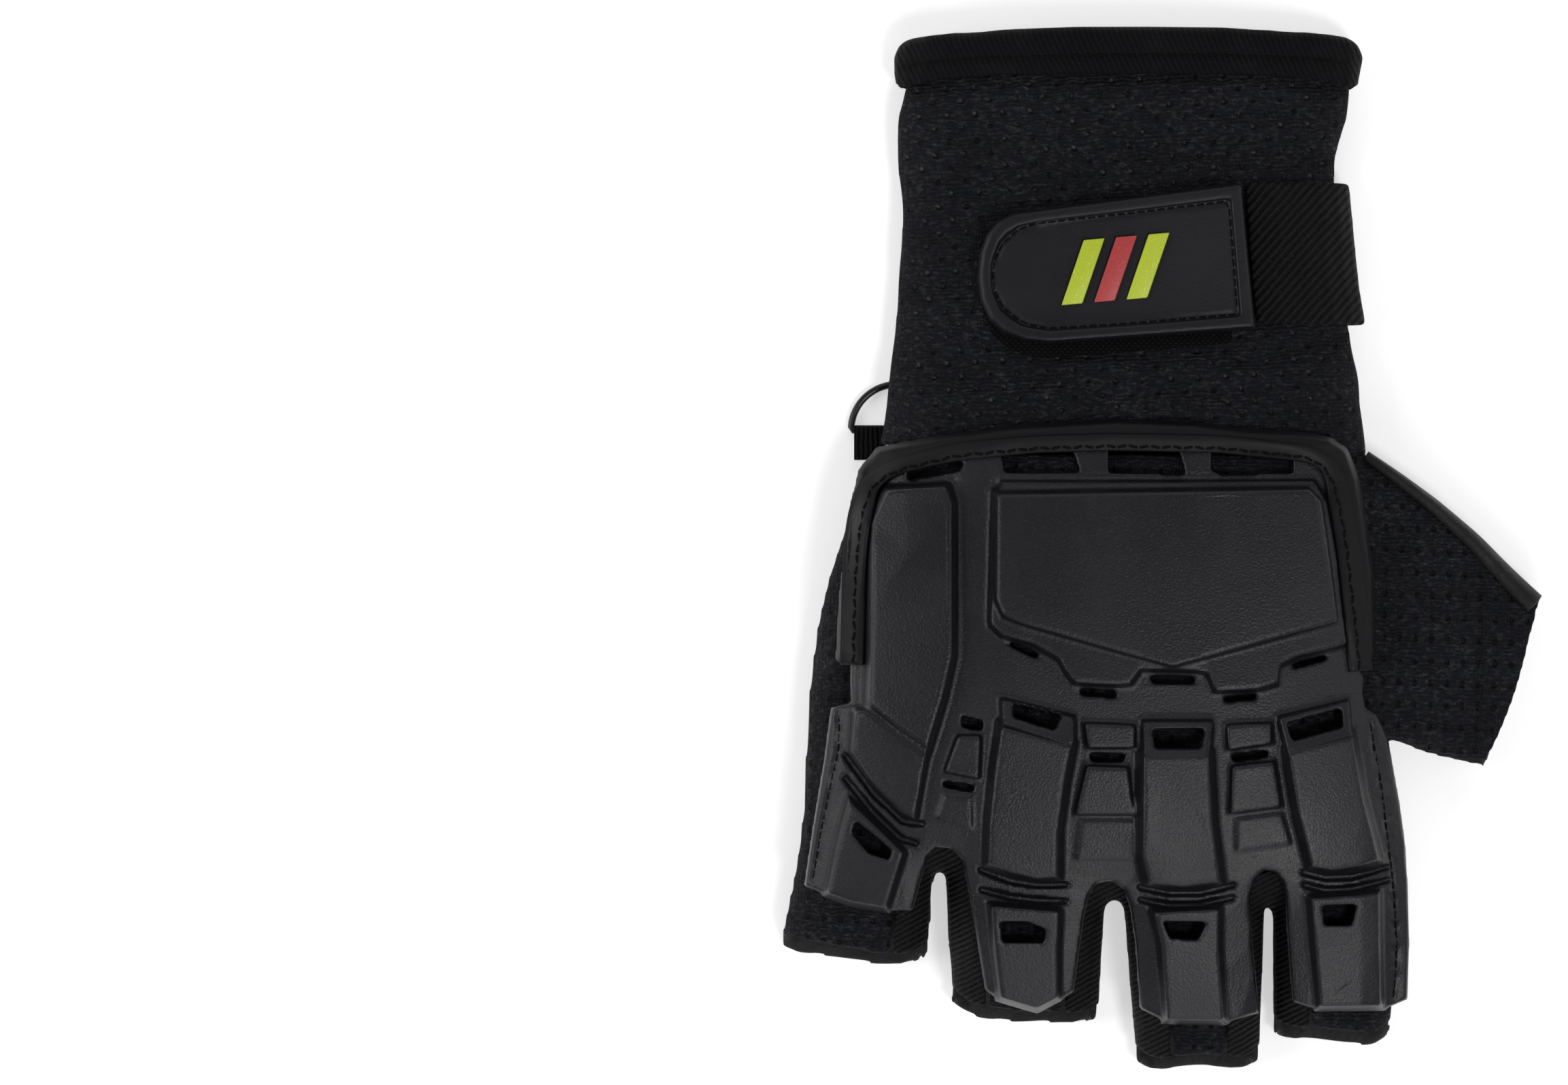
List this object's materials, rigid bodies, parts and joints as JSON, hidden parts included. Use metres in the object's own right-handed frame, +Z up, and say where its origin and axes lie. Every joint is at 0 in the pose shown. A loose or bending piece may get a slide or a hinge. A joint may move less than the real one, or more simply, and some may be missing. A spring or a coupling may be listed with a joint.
{
  "type": "half-finger armoured glove",
  "caption": "Half-finger right glove with a moulded knuckle plate, mesh back, long cuff and a wrist strap with a pull tab.",
  "frame": {"origin": "on the ground, under the middle of the glove's bounding box", "axes": "+Z up out of the back of the hand, +Y towards the cuff, -Y towards the fingers, +X towards the thumb"},
  "size_m": [0.1476, 0.2, 0.0335],
  "materials": {
    "mesh_cloth": "matte spacer mesh",
    "palm_leather": "satin grain",
    "rib_elastic": "ribbed elastic",
    "binding_tape": "fine ribbed tape",
    "strap_webbing": "twill elastic",
    "hook_tape": "matte hooks",
    "tab_rubber": "satin moulding",
    "lime_rubber": "satin",
    "red_rubber": "satin",
    "armour_rubber": "fine grained satin",
    "ring_plastic": "smooth"
  },
  "bodies": {
    "root": {"back_panel": "mesh_cloth", "cuff": "mesh_cloth", "palm_panel": "palm_leather", "palm_patch": "palm_leather", "side_wall_little_ring": "rib_elastic", "side_wall_ring_middle": "rib_elastic", "side_wall_middle_index": "rib_elastic", "cuff_binding": "binding_tape", "tongue_binding": "binding_tape", "wrist_strap": "strap_webbing", "ring_loop": "strap_webbing", "hook_patch": "hook_tape", "strap_tab": "tab_rubber", "emblem_lime_left": "lime_rubber", "emblem_lime_right": "lime_rubber", "emblem_red": "red_rubber", "armour": "armour_rubber", "armour_border": "armour_rubber", "d_ring": "ring_plastic"}
  },
  "joints": []
}
